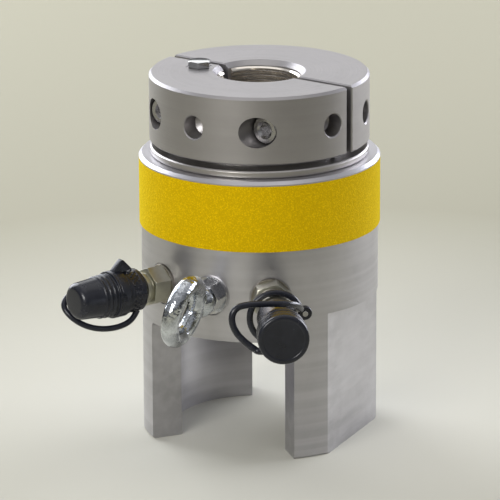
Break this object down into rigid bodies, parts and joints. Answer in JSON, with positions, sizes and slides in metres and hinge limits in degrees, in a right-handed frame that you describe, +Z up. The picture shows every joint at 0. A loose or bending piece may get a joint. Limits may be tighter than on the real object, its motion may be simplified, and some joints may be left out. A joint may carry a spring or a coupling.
{
  "type": "hydraulic bolt tensioner",
  "caption": "Cylinder with a windowed bridge, an annular piston, a split threaded puller collar, capped quick couplings and a lifting eye.",
  "frame": {"origin": "on the tool's axis, in the plane that the bridge stands on", "axes": "+Z up along the tool's axis towards the collar, -Y out of the wide window and along the lifting eye, +X to the right seen from there"},
  "size_m": [0.1748, 0.2213, 0.2347],
  "materials": {
    "blackened_steel": "dark satin, turned",
    "grip_yellow": "gritty, matte",
    "wiper_rubber": "matte",
    "seal_plastic": "matte",
    "backup_plastic": "matte",
    "screw_steel": "blackened",
    "bright_zinc": "bright zinc plate",
    "yellow_zinc": "yellow zinc plate",
    "port_washer": "satin",
    "spring_steel": "satin",
    "cap_rubber": "black, satin"
  },
  "bodies": {
    "body": {"cylinder_body": "blackened_steel", "grip_band": "grip_yellow", "wiper_ring": "wiper_rubber", "eye_bolt": "bright_zinc", "eye_bolt_nut": "bright_zinc", "eye_bolt_washer": "bright_zinc", "left_port_seal": "port_washer", "left_nipple": "yellow_zinc", "left_poppet_spring": "spring_steel", "left_retaining_band": "cap_rubber", "left_strap": "cap_rubber", "right_port_seal": "port_washer", "right_coupler_body": "yellow_zinc", "right_poppet_spring": "spring_steel", "right_sleeve_spring": "spring_steel", "right_snap_ring": "spring_steel", "right_locking_balls": "spring_steel", "right_mouth_seal": "wiper_rubber"},
    "piston": {"piston": "blackened_steel", "outer_piston_seal": "seal_plastic", "outer_backup_ring": "backup_plastic", "inner_piston_seal": "seal_plastic", "inner_backup_ring": "backup_plastic"},
    "collar": {"collar_front_half": "blackened_steel", "collar_rear_half": "blackened_steel", "clamp_screws": "screw_steel", "lock_screw": "screw_steel"},
    "left_poppet": {"left_poppet": "yellow_zinc"},
    "left_cap": {"left_cap": "cap_rubber"},
    "right_poppet": {"right_poppet": "yellow_zinc"},
    "right_sleeve": {"right_lock_sleeve": "bright_zinc"},
    "right_ring": {"right_retaining_ring": "cap_rubber", "right_strap_rivet": "bright_zinc", "right_strap": "cap_rubber"},
    "right_cap": {"right_cap": "cap_rubber"}
  },
  "joints": [
    {"name": "piston_lift", "type": "slide", "parent": "body", "child": "piston", "axis": [0, 0, 1], "range_m": [0, 0.015]},
    {"name": "collar_turn", "type": "hinge", "parent": "piston", "child": "collar", "pos_m": [0, 0, 0.2088], "axis": [0, 0, 1], "continuous": true},
    {"name": "left_poppet_push", "type": "slide", "parent": "body", "child": "left_poppet", "axis": [0.4955, 0.8686, 0], "range_m": [0, 0.003], "stiffness_N_per_m": 800, "springref_m": -0.002, "deforming": ["left_poppet_spring"]},
    {"name": "left_cap_pull", "type": "slide", "parent": "body", "child": "left_cap", "axis": [-0.4955, -0.8686, 0], "range_m": [0, 0.026], "deforming": ["left_strap"]},
    {"name": "right_poppet_push", "type": "slide", "parent": "body", "child": "right_poppet", "axis": [-0.4955, 0.8686, 0], "range_m": [0, 0.003], "stiffness_N_per_m": 800, "springref_m": -0.002, "deforming": ["right_poppet_spring"]},
    {"name": "right_sleeve_slide", "type": "slide", "parent": "body", "child": "right_sleeve", "axis": [-0.4955, 0.8686, 0], "range_m": [0, 0.004], "stiffness_N_per_m": 1500, "springref_m": -0.003, "deforming": ["right_sleeve_spring"]},
    {"name": "right_ring_swing", "type": "hinge", "parent": "body", "child": "right_ring", "pos_m": [0.05252, -0.09207, 0.1058], "axis": [0.4955, -0.8686, 0], "range_deg": [-30, 30]},
    {"name": "right_cap_pull", "type": "slide", "parent": "right_ring", "child": "right_cap", "axis": [0.4955, -0.8686, 0], "range_m": [0, 0.04], "deforming": ["right_strap"]}
  ]
}
